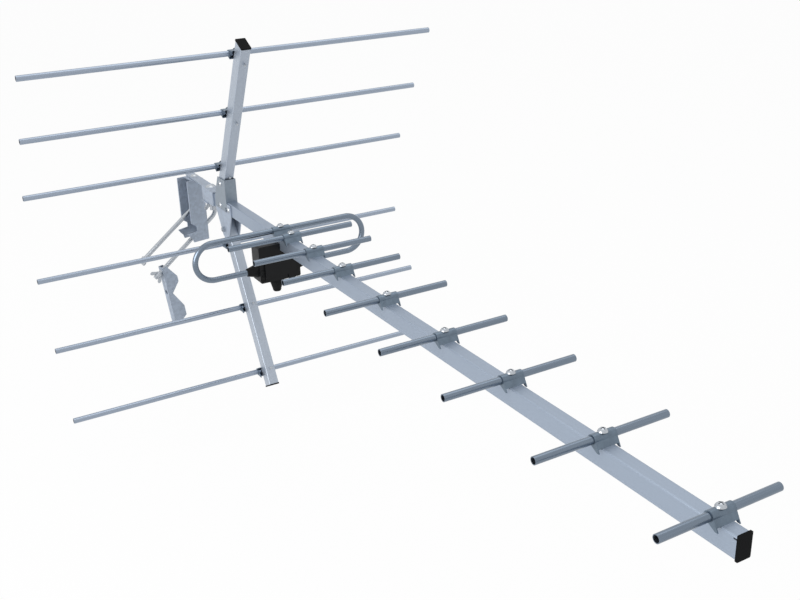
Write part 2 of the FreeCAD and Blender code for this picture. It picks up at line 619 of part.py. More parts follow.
def rear_bracket():
    """The galvanised channel over the boom's rear end, with its tongue, vertical bolt and washer."""
    inner = "boom_width/2+slip"
    outer = "boom_width/2+slip+plate"
    floor = "boom_top-cheek_drop"
    top = "boom_top+plate"
    tongue = rounded(block(("-tongue_end", "cheek_start+plate"), ("-tongue_half", "tongue_half"),
                           ("boom_top", top)), size("tongue_half") * 0.4, "z")
    channel = cut(block(("cheek_start", "cheek_end"), (f"-({outer})", outer), (floor, top)),
                  block((0, "2*cheek_end"), (f"-({inner})", inner), (f"{floor}-1", "boom_top")))
    bolt_hole = "bolt_radius+hole_play"
    holes = [cylinder("swivel_radius", "4*plate", 0, 0, "boom_top-plate"),
             cylinder(bolt_hole, "4*plate", "rear_bolt_x", 0, "boom_top-plate")]
    node("rear_bracket", cut(fuse(tongue, channel), *holes))
    washer = cut(block(("rear_bolt_x-washer_half", "rear_bolt_x+washer_half"),
                       ("-washer_half", "washer_half"), (f"{floor}-plate", floor)),
                 cylinder(bolt_hole, "4*plate", "rear_bolt_x", 0, f"{floor}-2*plate"))
    node("rear_washer", washer)
    length = "cheek_drop+2*plate+wing_height+bolt_tail"
    bolt = screw("bolt_head", "bolt_dome", "bolt_radius", length, "")
    node("rear_bolt", copy(bolt, at("rear_bolt_x", 0, top)))
    seat = f"{floor}-plate-seat_gap"
    hanging = f"{about(1, 0, 0, 180)}*{about(0, 0, 1, 90)}"
    node("rear_wing_nut", copy(WING_NUT, at("rear_bolt_x", 0, seat, hanging)))


def swivel():
    """The vertical bolt on which the mast bracket turns, with its nut."""
    top = "boom_top+plate"
    below = "boom_top-plate-2*seat_gap"
    length = "2*plate+2*seat_gap+nut_height+bolt_tail/2"
    bolt = copy(screw("swivel_head", "bolt_dome", "swivel_radius", length, ""), at(0, 0, top))
    nut = cut(hexagon("swivel_nut", "nut_height", 0, 0, f"{below}-nut_height"),
              cylinder("swivel_radius", "2*nut_height", 0, 0, f"{below}-1.5*nut_height"))
    node("swivel_bolt", group([bolt, nut]))


def mast_bracket():
    """The galvanised channel that lies against the mast: a web, two notched flanges and a top lug."""
    top = "boom_top-seat_gap"
    web = ("-web_back", "-web_back+plate")
    wide = ("-bracket_half", "bracket_half")
    outside = rounded(block(("-web_back", "tooth_reach+4*plate"), wide, ("-bracket_bottom", top)),
                      size("plate") * 1.5, "z")
    inside = block((web[1], "2*tooth_reach"), ("-bracket_half+plate", "bracket_half-plate"),
                   ("-2*bracket_bottom", "2*boom_top"))
    trim = block(("tooth_reach", "2*tooth_reach"), ("-2*bracket_half", "2*bracket_half"),
                 ("-2*bracket_bottom", "2*boom_top"))
    lug = block(("-web_back", "lug_reach"), ("-bracket_half+plate", "bracket_half-plate"),
                (f"{top}-plate", top))
    past = "tooth_reach+1"
    across = ("-2*bracket_half", "2*bracket_half")
    notch = slab([("flange_reach", "2*boom_top"), (past, "2*boom_top"), (past, "-tooth_drop"),
                  ("notch_reach", "-notch_floor_low"), ("notch_reach", "-notch_floor_top"),
                  ("flange_reach", "-notch_top")], across)
    chamfer = slab([("tooth_reach", "-tooth_drop"), (past, "-tooth_drop"), (past, "-bracket_bottom-1"),
                    ("flange_reach-plate", "-bracket_bottom-1"), ("flange_reach", "-bracket_bottom+3*plate"),
                    ("tooth_reach-2*plate", "-tooth_drop-3*plate")], across)
    wide_slot = "bolt_radius+hole_play"
    low = "leg_pitch/2"
    high = "leg_pitch/2/cos(leg_droop)+bolt_radius/cos(leg_droop)+plate/2*tan(leg_droop)-bolt_radius"
    slots = []
    for side in (1, -1):
        ends = (f"{side}*({low})", f"{side}*({high})")
        slots += [cylinder(wide_slot, "4*plate", "-web_back-plate", 0, z, "x") for z in ends]
        slots.append(block(("-web_back-plate", "-web_back+3*plate"), (f"-({wide_slot})", wide_slot),
                           ends[::side]))
    pivot = cylinder("swivel_radius+bolt_play", "4*plate", 0, 0, f"{top}-2*plate")
    channel = cut(outside, inside, trim)
    node("mast_bracket", cut(fuse(channel, lug), notch, chamfer, pivot, *slots), CLAMP)


def u_bolt():
    """The U-bolt that holds the mast, its wing nuts, and the jaw that hangs on its lower leg."""
    legs = [cylinder("bolt_radius", "leg_back+leg_length", "-leg_back", 0, f"{side}*leg_pitch/2", "x")
            for side in (1, -1)]
    turn = f"{about(1, 0, 0, 90)}*{about(0, 0, 1, 90)}"
    bow = half_ring("leg_pitch/2", "bolt_radius", "-leg_back", 0, 0, turn)
    node("u_bolt", fuse(bow, *legs), U_BOLT)

    outline = [("sheet", "jaw_above"), ("-jaw_root", "jaw_above"), ("-jaw_depth", "-jaw_hump+jaw_hump_half"),
               ("-jaw_depth", "-jaw_hump-jaw_hump_half"), ("-jaw_root", "-jaw_notch"),
               ("-jaw_depth", "-jaw_hump_low+jaw_hump_low_half"),
               ("-jaw_depth", "-jaw_hump_low-jaw_hump_low_half"), ("-jaw_root", "-jaw_below"),
               ("sheet", "-jaw_below")]
    channel = cut(slab(outline, ("-jaw_half", "jaw_half")),
                  block(("-2*jaw_depth", "0"), ("-jaw_half+sheet", "jaw_half-sheet"),
                        ("-2*jaw_below", "2*jaw_above")))
    hole = copy(cylinder("bolt_radius+bolt_play", "8*sheet", "-4*sheet", 0, 0, "x"),
                at(0, 0, 0, about(0, 1, 0, "jaw_lean")))
    wide_hole = cylinder("bolt_radius+hole_play", "4*sheet", "-sheet", 0, "-leg_pitch", "x")
    hang = at("jaw_place", 0, "-leg_pitch/2", about(0, 1, 0, "-jaw_lean"))
    node("clamp_jaw", cut(channel, hole, wide_hole), f"{U_BOLT}*{hang}")

    facing = about(0, 1, 0, 90)
    seat = "leg_length-wing_height-bolt_tail/2"
    for name, side, turned in (("upper", 1, 90), ("lower", -1, 0)):
        turn = f"{facing}*{about(0, 0, 1, turned)}"
        node(f"{name}_wing_nut", copy(WING_NUT, f"{U_BOLT}*{at(seat, 0, f'{side}*leg_pitch/2', turn)}"))


def dipole():
    """The folded dipole: one bent tube with its feed gap in the lower run, and its clip on the boom."""
    bend = "dipole_drop/2"
    straight = "dipole_half-dipole_drop/2"
    upper = "boom_top+clip_rise"
    lower = "boom_top+clip_rise-dipole_drop"
    middle = "boom_top+clip_rise-dipole_drop/2"

    def loop(radius):
        right = about(0, 1, 0, 90)
        left = f"{about(1, 0, 0, 180)}*{right}"
        return fuse(cylinder(radius, f"2*({straight})", "dipole_x", f"-({straight})", upper, "y"),
                    cylinder(radius, f"{straight}-dipole_gap", "dipole_x", "dipole_gap", lower, "y"),
                    cylinder(radius, f"{straight}-dipole_gap", "dipole_x", f"-({straight})", lower, "y"),
                    half_ring(bend, radius, "dipole_x", straight, middle, right),
                    half_ring(bend, radius, "dipole_x", f"-({straight})", middle, left))

    holes = [cylinder("terminal_radius", "4*rod_radius", "dipole_x-2*rod_radius", f"{side}*terminal_y",
                      lower, "x") for side in (1, -1)]
    holes.append(cylinder("screw_radius", "4*rod_radius", "dipole_x", 0, f"{upper}-2*rod_radius"))
    node("folded_dipole", cut(loop("rod_radius"), loop("rod_radius-rod_wall"), *holes))
    mount_clip("dipole_clip", BOOM_SCREW, at("dipole_x", 0, upper))


def junction_box():
    """The junction box under the boom: base, board, terminals, seal, cover, boots, gland and screw."""
    top = "boom_top-box_top"
    bottom = "boom_top-box_bottom"
    back = "dipole_x-box_back"
    rim = "dipole_x+box_front"
    saddle = "boom_top-boom_height"
    feed = "boom_top+clip_rise-dipole_drop"
    wide = ("-box_left", "box_right")
    inner = ("-box_left+box_wall", "box_right-box_wall")

    shell = rounded(block((back, rim), wide, (bottom, top)), size("box_round"), "x")
    cavity = block((f"{back}+box_wall", f"{rim}+1"), inner, (f"{bottom}+box_wall", f"{top}-box_wall"))
    hood = block((back, rim), ("-boom_width/2-slip-box_wall", "boom_width/2+slip+box_wall"),
                 (f"{saddle}-box_wall", top))
    notch = block((f"{back}-1", f"{rim}+1"), SLEEVE, (saddle, f"{top}+1"))
    feeds = cylinder("rod_radius+slip", "4*box_left", "dipole_x", "-2*box_left", feed, "y")
    gland_hole = cylinder("gland_neck+slip", "2*box_wall", "dipole_x", "gland_y", f"{bottom}-box_wall/2")
    anchor_hole = cylinder("anchor_radius+slip", "4*box_wall", "dipole_x", 0, f"{saddle}-2*box_wall")
    base = cut(fuse(cut(shell, cavity), hood), notch, feeds, gland_hole, anchor_hole)
    node("junction_box_base", base)

    board_back = f"{back}+box_wall"
    board = cut(block((board_back, f"{board_back}+board_thickness"), ("-board_left", "box_right-box_wall-1"),
                      (f"{feed}-board_height/2", f"{feed}+board_height/2")),
                *[cylinder("terminal_radius", "4*board_thickness", back, f"{side}*terminal_y", feed, "x")
                  for side in (1, -1)])
    node("terminal_board", board)
    shank = "box_back-box_wall+rod_radius"
    terminal = screw("terminal_head", "terminal_dome", "terminal_radius", shank, "")
    forward = about(0, 1, 0, 90)
    node("terminal_screws", group(copy(terminal, at("dipole_x+rod_radius", f"{side}*terminal_y", feed, forward))
                                  for side in (1, -1)))

    def frame_plate(x, gap):
        """A plate with the outline of the box and its notch, less a gap around the notch."""
        plate = rounded(block(x, wide, (bottom, top)), size("box_round"), "x")
        room = block((0, "2*dipole_x"), (f"-boom_width/2-slip-{gap}", f"boom_width/2+slip+{gap}"),
                     (f"{saddle}-{gap}", f"{top}+1"))
        return cut(plate, room)

    seal_front = f"{rim}+seal_thickness"
    window = cut(block((0, "2*dipole_x"), inner, (f"{bottom}+box_wall", f"{top}-box_wall")), hood)
    node("box_seal", cut(frame_plate((rim, seal_front), 0), window))

    rim_front = f"{seal_front}+cover_thickness"
    raised = rounded(block((rim_front, f"{rim_front}+cover_rise"),
                           ("-box_left+cover_border", "box_right-cover_border"),
                           (f"{bottom}+cover_border", f"{saddle}-cover_border")), size("box_round"), "x")
    latch = block((rim_front, f"{rim_front}+cover_rise/2"),
                  ("cover_border-latch_half", "cover_border+latch_half"), (bottom, f"{bottom}+latch_length"))
    node("junction_box_cover", fuse(frame_plate((seal_front, rim_front), 0), raised, latch))

    boots = []
    for start, turn in (("box_right", about(1, 0, 0, -90)), ("-box_left", about(1, 0, 0, 90))):
        sleeve = cone("boot_root", "boot_tip", "boot_length", "dipole_x", start, feed, turn)
        boots.append(cut(common(sleeve, block((back, rim), ("-2*box_left", "2*box_left"), (bottom, top))),
                         cylinder("rod_radius+slip", "6*box_left", "dipole_x", "-3*box_left", feed, "y")))
    node("dipole_boots", group(boots))

    down = about(1, 0, 0, 180)
    collar = cylinder("gland_radius", "gland_collar", "dipole_x", "gland_y", f"{bottom}-gland_collar")
    taper = cone("gland_radius-1.5", "gland_tip", "gland_length", "dipole_x", "gland_y",
                 f"{bottom}-gland_collar", down)
    neck = cylinder("gland_neck", "2*box_wall", "dipole_x", "gland_y", bottom)
    bore = cylinder("cable_radius", "4*gland_length", "dipole_x", "gland_y", f"{bottom}-2*gland_length")
    trim = block((back, rim), ("gland_y-2*gland_radius", "gland_y+2*gland_radius"),
                 (f"{bottom}-2*gland_length", top))
    node("cable_gland", cut(common(fuse(collar, taper, neck), trim), bore))

    anchor = screw("anchor_head", "terminal_dome", "anchor_radius", "anchor_length", "")
    node("box_screw", copy(anchor, at("dipole_x", 0, f"{saddle}-box_wall", down)))


WING_NUT = wing_nut()
boom()
directors()
reflector()
node("saddle_bolts", group(arm_saddle()))
node("hanger_bolts", group(arm_hanger()))
rear_bracket()
swivel()
mast_bracket()
u_bolt()
dipole()
junction_box()
node("clip_screws", group(screws))
doc.recompute()

for item in doc.Objects:
    if {"Invalid", "Error"} & set(item.State):
        raise RuntimeError(f"{item.Name} ({item.Label}): {item.State}")
os.makedirs("parts", exist_ok=True)
for item in NODES:
    shape = item.Shape
    if shape.isNull() or not shape.isValid() or not shape.Solids:
        raise RuntimeError(f"{item.Label} has no valid solid")
    shape.exportStep(f"parts/{item.Label}.step")
    print(item.Label, len(shape.Solids), round(shape.Volume, 1))
print(len(NODES), "nodes")
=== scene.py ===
"""Looks of the outdoor television antenna: metal and plastic finishes, cut threads, ribs and the studio.

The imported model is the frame: +X runs along the boom towards its front end, +Y along the rods, +Z up.
Its pieces keep their shapes and get finishes. Rolled threads, the gland's ribs and the box's grip ribs are
added as pieces of their own, each placed by what it sits on.
"""

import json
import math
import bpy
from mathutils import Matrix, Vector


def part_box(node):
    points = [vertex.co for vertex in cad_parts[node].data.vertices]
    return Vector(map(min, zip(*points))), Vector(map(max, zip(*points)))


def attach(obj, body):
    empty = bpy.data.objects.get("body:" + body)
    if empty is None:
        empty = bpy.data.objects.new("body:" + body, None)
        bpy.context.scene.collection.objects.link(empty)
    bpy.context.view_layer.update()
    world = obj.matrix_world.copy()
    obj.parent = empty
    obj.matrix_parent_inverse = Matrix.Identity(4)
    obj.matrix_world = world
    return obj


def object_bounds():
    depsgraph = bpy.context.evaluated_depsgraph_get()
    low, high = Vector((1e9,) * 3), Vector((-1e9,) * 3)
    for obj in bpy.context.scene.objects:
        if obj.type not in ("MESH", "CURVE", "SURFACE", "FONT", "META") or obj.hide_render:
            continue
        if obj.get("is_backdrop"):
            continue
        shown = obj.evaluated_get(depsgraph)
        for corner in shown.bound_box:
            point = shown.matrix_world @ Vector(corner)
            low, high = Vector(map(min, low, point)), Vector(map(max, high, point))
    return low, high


bl_info = {
    "name": "Outdoor antenna finishes",
    "version": (1, 0, 0),
    "blender": (4, 5, 0),
    "location": "3D View > Sidebar > Antenna",
    "description": "Finishes, threads, ribs and a plain studio for an outdoor television antenna",
    "category": "Object",
}

import bpy
from mathutils import Matrix, Vector

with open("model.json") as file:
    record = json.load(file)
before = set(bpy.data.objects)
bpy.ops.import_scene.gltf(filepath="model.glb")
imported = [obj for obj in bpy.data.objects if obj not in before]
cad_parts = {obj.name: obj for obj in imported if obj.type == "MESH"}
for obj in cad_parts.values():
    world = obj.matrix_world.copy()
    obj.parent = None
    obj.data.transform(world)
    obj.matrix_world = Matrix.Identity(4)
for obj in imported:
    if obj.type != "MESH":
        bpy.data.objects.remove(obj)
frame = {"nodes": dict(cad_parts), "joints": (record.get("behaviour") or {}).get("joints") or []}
NODES = frame["nodes"]
JOINTS = {joint["name"]: joint for joint in frame["joints"]}
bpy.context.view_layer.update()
MM = 0.001

# Grain and relief of the finishes
NOISE_DETAIL = 4.0
NOISE_ROUGHNESS = 0.6
BUMP_STRENGTH = 0.6
FLAKE_SHARE = 0.6

# Thread and ribs, in metres
SHANK_SEARCH = 8 * MM
GLAND_TIP_INSET = 2 * MM
GLAND_ROOT_DROP = 9 * MM
GLAND_TIP_RADIUS = 5.6 * MM
GLAND_ROOT_RADIUS = 7.6 * MM
COVER_RIM = 2.6 * MM
GRIP_INSET = 1.2 * MM
GRIP_FOOT = 2.5 * MM
GRIP_SINK = 0.3 * MM
GRIP_RISE = 0.7 * MM

# Stage: the floor's drop and half width, and each lamp's size and its place from the antenna's middle
FLOOR_DROP = 60 * MM
FLOOR_REACH = 12
KEY_LAMP = (1.6, Vector((0.5, -2.2, 0.7)))
TOP_LAMP = (2.0, Vector((-0.4, 0.6, 2.4)))
FLOOR_GLOW = 0.95


# Colours and small helpers

def linear(colour):
    """An sRGB hex colour as the linear numbers that a shader takes."""
    parts = [int(colour[i:i + 2], 16) / 255 for i in (1, 3, 5)]
    return tuple(p / 12.92 if p <= 0.04045 else ((p + 0.055) / 1.055) ** 2.4 for p in parts)


def colour_setting(name, description, value):
    """A colour that a user can change."""
    return bpy.props.FloatVectorProperty(name=name, description=description, subtype="COLOR",
                                         size=3, min=0, max=1, default=linear(value))


def length_setting(name, description, millimetres):
    """A length that a user can change."""
    return bpy.props.FloatProperty(name=name, description=description, unit="LENGTH", subtype="DISTANCE",
                                   default=millimetres * MM, min=0)


def middle(node):
    """The middle of a CAD node's box."""
    low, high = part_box(node)
    return (low + high) / 2


def add(tree, kind, **settings):
    """Add a node to a tree. A setting names a property or an input of the node, and a socket is linked."""
    node = tree.nodes.new(kind)
    own = [name for name in settings if hasattr(node, name)]
    for name in own:
        setattr(node, name, settings[name])
    for name, value in settings.items():
        if name in own:
            continue
        title = name.replace("_", " ").lower()
        socket = next(s for s in node.inputs if s.enabled and s.name.lower() == title)
        if isinstance(value, bpy.types.NodeSocket):
            tree.links.new(value, socket)
        else:
            socket.default_value = value
    return node


def ray_mask(tree, *kinds):
    """One for rays of any of these kinds and nought for others."""
    rays = add(tree, "ShaderNodeLightPath").outputs
    mask = rays[kinds[0]]
    for kind in kinds[1:]:
        either = add(tree, "ShaderNodeMath", operation="MAXIMUM")
        tree.links.new(mask, either.inputs[0])
        tree.links.new(rays[kind], either.inputs[1])
        mask = either.outputs[0]
    return mask


# Settings

class AntennaFinishes(bpy.types.PropertyGroup):
    """Colours of the antenna's surfaces."""

    boom: colour_setting("Boom", "Mill-finish aluminium of the boom", "#9AA6B6")
    arm: colour_setting("Arm", "Mill-finish aluminium of the arms", "#AEB7C3")
    # The rods' two greys are one aluminium: darker as painted shade on the directors and the dipole, lighter
    # as painted light on the reflector.
    rod: colour_setting("Rod", "Drawn aluminium of the directors and of the dipole", "#75818F")
    long_rod: colour_setting("Long rod", "Drawn aluminium of the reflector's rods", "#97A2B1")
    # The clips' dark grey is partly painted shade.
    clip: colour_setting("Clip", "Zinc-plated steel of the element clips", "#6A7886")
    galvanised: colour_setting("Galvanised", "Hot-dip zinc of the brackets", "#9AA5B4")
    bolt: colour_setting("Bolt", "Bright zinc of bolts, nuts and screws", "#B3B8BE")
    black: colour_setting("Black", "Black plastic of the box and the caps", "#0B0C0E")
    saddle: colour_setting("Saddle", "Zinc-plated steel of the arm saddle", "#8B96A1")
    rubber: colour_setting("Rubber", "Rubber of the boots, the gland and the seal", "#08090A")


class AntennaDetails(bpy.types.PropertyGroup):
    """Sizes of the small relief."""

    arm_tilt: bpy.props.FloatProperty(name="Arm tilt", subtype="ANGLE", default=math.radians(28.5),
                                      description="Lean of the arms, for the lines of their grain")
    shank_radius: length_setting("Shank radius", "Radius of the U-bolt's legs and of the rear bolt", 3.6)
    thread_pitch: length_setting("Thread pitch", "Pitch of the rolled threads", 1.0)
    thread_height: length_setting("Thread height", "Crest above the shank", 0.15)
    threaded_length: length_setting("Threaded length", "Thread on each leg of the U-bolt", 42)
    gland_rib: length_setting("Gland rib", "Half thickness of a rib on the cable gland", 0.55)
    gland_ribs: bpy.props.IntProperty(name="Gland ribs", description="Ribs on the cable gland",
                                      default=4, min=2)
    grip_rib: length_setting("Grip rib", "Width of a grip rib on the cover", 1.0)
    grip_height: length_setting("Grip height", "Height of the grip ribs", 17)
    grip_ribs: bpy.props.IntProperty(name="Grip ribs", description="Grip ribs at the cover's lower corner",
                                     default=4, min=2)


class AntennaStage(bpy.types.PropertyGroup):
    """The camera's place and the level of the lamps."""

    azimuth: bpy.props.FloatProperty(name="Azimuth", description="Camera's heading about the vertical",
                                     subtype="ANGLE", default=math.radians(60.46))
    elevation: bpy.props.FloatProperty(name="Elevation", description="Camera's height as an angle",
                                       subtype="ANGLE", default=math.radians(22.63))
    roll: bpy.props.FloatProperty(name="Roll", description="Camera's turn about its own axis",
                                  subtype="ANGLE", default=math.radians(-1.85))
    place: bpy.props.FloatVectorProperty(name="Place", description="Where the camera stands", size=3,
                                         subtype="XYZ", unit="LENGTH", default=(1.64385, -0.54524, 0.53887))
    lens: bpy.props.FloatProperty(name="Lens", description="Focal length in millimetres, on a 36 mm frame",
                                  default=47.34, min=1)
    key: bpy.props.FloatProperty(name="Key", description="Power of the lamp beside the boom", unit="POWER",
                                 default=40)
    top: bpy.props.FloatProperty(name="Top", description="Power of the lamp above", unit="POWER", default=12)
    sky: bpy.props.FloatProperty(name="Sky", description="Light that comes from all round", default=0.55)


# Finishes

def finish(name, colour, metallic, roughness, grain, contrast, relief, turn=0.0, flakes=0.0, gloss=0.5):
    """A finish from its grain: the grain's size along three axes in millimetres and its tilt about Y.

    The grain varies the colour and the roughness by its contrast, and gives the surface its relief in
    millimetres. With flakes, crystals of that size in millimetres lie over it. The gloss is the strength of
    the reflection on bare plastic and rubber.
    """
    material = bpy.data.materials.new(name)
    material.use_nodes = True
    tree = material.node_tree
    shader = tree.nodes["Principled BSDF"]
    place = add(tree, "ShaderNodeTexCoord").outputs["Object"]
    along = add(tree, "ShaderNodeMapping", vector_type="TEXTURE", Vector=place)
    along.inputs["Rotation"].default_value = (0, turn, 0)
    along.inputs["Scale"].default_value = [size * MM for size in grain]
    noise = add(tree, "ShaderNodeTexNoise", Vector=along.outputs["Vector"], Detail=NOISE_DETAIL,
                Roughness=NOISE_ROUGHNESS)
    noise.inputs["Scale"].default_value = 1.0
    height = noise.outputs["Fac"]
    tone = height
    if flakes:
        cells = add(tree, "ShaderNodeTexVoronoi", Vector=place, feature="F1")
        cells.inputs["Scale"].default_value = 1 / (flakes * MM)
        grey = add(tree, "ShaderNodeSeparateColor", Color=cells.outputs["Color"]).outputs["Red"]
        tone = add(tree, "ShaderNodeMath", operation="MULTIPLY_ADD").outputs["Value"]
        blend = tone.node
        tree.links.new(grey, blend.inputs[0])
        blend.inputs[1].default_value = FLAKE_SHARE
        tree.links.new(height, blend.inputs[2])
    shades = add(tree, "ShaderNodeValToRGB", Fac=tone)
    low, high = shades.color_ramp.elements
    low.position, high.position = (0.35, 1.0) if flakes else (0.3, 0.7)
    low.color = [c * (1 - contrast) for c in colour] + [1]
    high.color = [min(c * (1 + contrast), 1) for c in colour] + [1]
    tree.links.new(shades.outputs["Color"], shader.inputs["Base Color"])
    spread = add(tree, "ShaderNodeMapRange", Value=tone, To_Min=roughness * (1 - contrast),
                 To_Max=min(roughness * (1 + contrast), 1))
    tree.links.new(spread.outputs["Result"], shader.inputs["Roughness"])
    shader.inputs["Metallic"].default_value = metallic
    shader.inputs["Specular IOR Level"].default_value = gloss
    bump = add(tree, "ShaderNodeBump", Height=height, Strength=BUMP_STRENGTH, Distance=relief * MM)
    tree.links.new(bump.outputs["Normal"], shader.inputs["Normal"])
    return material


def dress(material, *names):
    """Give CAD nodes a finish in every material slot."""
    for name in names:
        mesh = NODES[name].data
        if not mesh.materials:
            mesh.materials.append(material)
        for index in range(len(mesh.materials)):
            mesh.materials[index] = material


def nodes_with(*words):
    """Names of the CAD nodes that hold one of the words."""
    return [name for name in NODES if any(word in name for word in words)]


# Repeated relief

def ring_stack(name, material):
    """A node tree that stacks sharp rings along Z, with the number, spacing and radii as inputs."""
    tree = bpy.data.node_groups.new(name, "GeometryNodeTree")
    sockets = [("Count", "NodeSocketInt", 10), ("Spacing", "NodeSocketFloat", MM),
               ("First Radius", "NodeSocketFloat", 3 * MM), ("Last Radius", "NodeSocketFloat", 3 * MM),
               ("Ridge", "NodeSocketFloat", 0.3 * MM)]
    for title, kind, value in sockets:
        socket = tree.interface.new_socket(title, in_out="INPUT", socket_type=kind)
        socket.default_value = value
    tree.interface.new_socket("Geometry", in_out="OUTPUT", socket_type="NodeSocketGeometry")
    entry = add(tree, "NodeGroupInput").outputs
    reach = add(tree, "ShaderNodeMath", operation="MULTIPLY")
    tree.links.new(entry["Count"], reach.inputs[0])
    tree.links.new(entry["Spacing"], reach.inputs[1])
    top = add(tree, "ShaderNodeCombineXYZ", Z=reach.outputs[0])
    line = add(tree, "GeometryNodeMeshLine", mode="END_POINTS", Count=entry["Count"])
    tree.links.new(top.outputs[0], line.inputs["Offset"])
    circle = add(tree, "GeometryNodeCurvePrimitiveCircle", mode="RADIUS", Resolution=28, Radius=1.0)
    place = add(tree, "GeometryNodeInstanceOnPoints", Points=line.outputs["Mesh"],
                Instance=circle.outputs["Curve"])
    step = add(tree, "GeometryNodeInputIndex")
    width = add(tree, "ShaderNodeMapRange", Value=step.outputs[0], From_Min=0.0, From_Max=entry["Count"],
                To_Min=entry["First Radius"], To_Max=entry["Last Radius"])
    size = add(tree, "ShaderNodeCombineXYZ", X=width.outputs["Result"], Y=width.outputs["Result"], Z=1.0)
    tree.links.new(size.outputs[0], place.inputs["Scale"])
    rings = add(tree, "GeometryNodeRealizeInstances", Geometry=place.outputs["Instances"])
    profile = add(tree, "GeometryNodeCurvePrimitiveCircle", mode="RADIUS", Resolution=6,
                  Radius=entry["Ridge"])
    swept = add(tree, "GeometryNodeCurveToMesh", Curve=rings.outputs["Geometry"],
                Profile_Curve=profile.outputs["Curve"])
    smooth = add(tree, "GeometryNodeSetShadeSmooth", Geometry=swept.outputs["Mesh"])
    whole = add(tree, "GeometryNodeRealizeInstances", Geometry=smooth.outputs["Geometry"])
    coat = add(tree, "GeometryNodeSetMaterial", Geometry=whole.outputs["Geometry"], Material=material)
    leave = add(tree, "NodeGroupOutput")
    tree.links.new(coat.outputs["Geometry"], leave.inputs["Geometry"])
    return tree


def grown(tree, inputs, place):
    """The mesh that a node tree makes with these inputs, set in its place."""
    carrier = bpy.data.objects.new("Carrier", bpy.data.meshes.new("Carrier"))
    bpy.context.scene.collection.objects.link(carrier)
    modifier = carrier.modifiers.new("Tree", "NODES")
    modifier.node_group = tree
    for item in tree.interface.items_tree:
        if item.item_type == "SOCKET" and item.in_out == "INPUT" and item.name in inputs:
            modifier[item.identifier] = inputs[item.name]
    bpy.context.view_layer.update()
    shape = carrier.evaluated_get(bpy.context.evaluated_depsgraph_get())
    mesh = bpy.data.meshes.new_from_object(shape)
    bpy.data.objects.remove(carrier)
    mesh.transform(place)
    return mesh


def joined(name, meshes, material, body):
    """One piece from several meshes, riding on a body of the frame."""
    whole = bpy.data.meshes.new(name)
    points, faces = [], []
    for mesh in meshes:
        start = len(points)
        points += [vertex.co[:] for vertex in mesh.vertices]
        faces += [[start + index for index in face.vertices] for face in mesh.polygons]
    whole.from_pydata(points, [], faces)
    whole.materials.append(material)
    whole.polygons.foreach_set("use_smooth", [True] * len(faces))
    piece = bpy.data.objects.new(name, whole)
    bpy.context.scene.collection.objects.link(piece)
    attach(piece, body)
    return piece


def leg_frame(joint):
    """The place and turn of a leg or bolt from the joint of its nut, with Z along the shank."""
    axis = Vector(joint["axis"]).normalized()
    return Matrix.Translation(Vector(joint["pos_m"])) @ axis.to_track_quat("Z", "Y").to_matrix().to_4x4()


def span_along(node, place, radius):
    """How far a node reaches along the Z of a place, both ways, within a radius of that axis."""
    inverse = place.inverted()
    marks = [inverse @ vertex.co for vertex in NODES[node].data.vertices]
    near = [mark.z for mark in marks if math.hypot(mark.x, mark.y) < radius]
    return min(near), max(near)


def threads(details, material, place, start, end, gaps):
    """Rolled thread rings between two marks along a shank, left out where a nut or a plate sits."""
    cuts = sorted((max(low, start), min(high, end)) for low, high in gaps if high > start and low < end)
    edges = [start] + [mark for cut in cuts for mark in cut] + [end]
    tree = ring_stack("RolledThread", material)
    radius = details.shank_radius - details.thread_height
    meshes = []
    for low, high in zip(edges[::2], edges[1::2]):
        count = int((high - low) / details.thread_pitch)
        if count > 1:
            inputs = {"Count": count, "Spacing": details.thread_pitch, "First Radius": radius,
                      "Last Radius": radius, "Ridge": 2 * details.thread_height}
            centre = place @ Matrix.Translation((0, 0, low + details.thread_pitch / 2))
            meshes.append(grown(tree, inputs, centre))
    return meshes


def block_mesh(low, high):
    """A closed block between two corners."""
    points = [(x, y, z) for x in (low[0], high[0]) for y in (low[1], high[1]) for z in (low[2], high[2])]
    faces = [(0, 1, 3, 2), (4, 6, 7, 5), (0, 4, 5, 1), (2, 3, 7, 6), (0, 2, 6, 4), (1, 5, 7, 3)]
    mesh = bpy.data.meshes.new("Block")
    mesh.from_pydata(points, [], faces)
    return mesh


# Operators

class AntennaOperator:
    """What the antenna's operators share."""

    bl_options = {"REGISTER", "UNDO"}

    @property
    def finishes(self):
        return bpy.context.scene.antenna_finishes

    @property
    def details(self):
        return bpy.context.scene.antenna_details


class ANTENNA_OT_tubes(AntennaOperator, bpy.types.Operator):
    """Give the boom and the arms their extruded aluminium"""

    bl_idname = "antenna.tubes"
    bl_label = "Finish the tubes"

    def execute(self, context):
        # Mill-finish extruded aluminium: soft grey, with faint die lines along the tube.
        tilt = self.details.arm_tilt
        colours = self.finishes
        for name, colour, turn, grain in (("boom", colours.boom, 0, (300, 0.6, 0.6)),
                                          ("upper_arm", colours.arm, tilt, (0.6, 0.6, 300)),
                                          ("lower_arm", colours.arm, -tilt, (0.6, 0.6, 300))):
            dress(finish("ExtrudedAluminium_" + name, colour, 0.75, 0.42, grain, 0.035, 0.012, turn), name)
        return {"FINISHED"}


class ANTENNA_OT_rods(AntennaOperator, bpy.types.Operator):
    """Give the rods and the dipole their finish"""

    bl_idname = "antenna.rods"
    bl_label = "Finish the rods"

    def execute(self, context):
        # Drawn aluminium tube: smoother than the boom, a narrow highlight along its length; its grey is
        # darkened as painted shade.
        drawn_painted_shade = finish("DrawnAluminiumTube", self.finishes.rod, 0.9, 0.27, (1.2, 120, 1.2), 0.08, 0.01)
        dress(drawn_painted_shade, *[name for name in nodes_with("director") if "clip" not in name], "folded_dipole")
        # The reflector's rods get a lighter copy of the same aluminium: painted light, not another metal.
        pale = finish("DrawnAluminiumTubePaintedLight", self.finishes.long_rod, 0.9, 0.27, (1.2, 120, 1.2),
                      0.08, 0.01)
        dress(pale, *nodes_with("reflector_rod"))
        return {"FINISHED"}


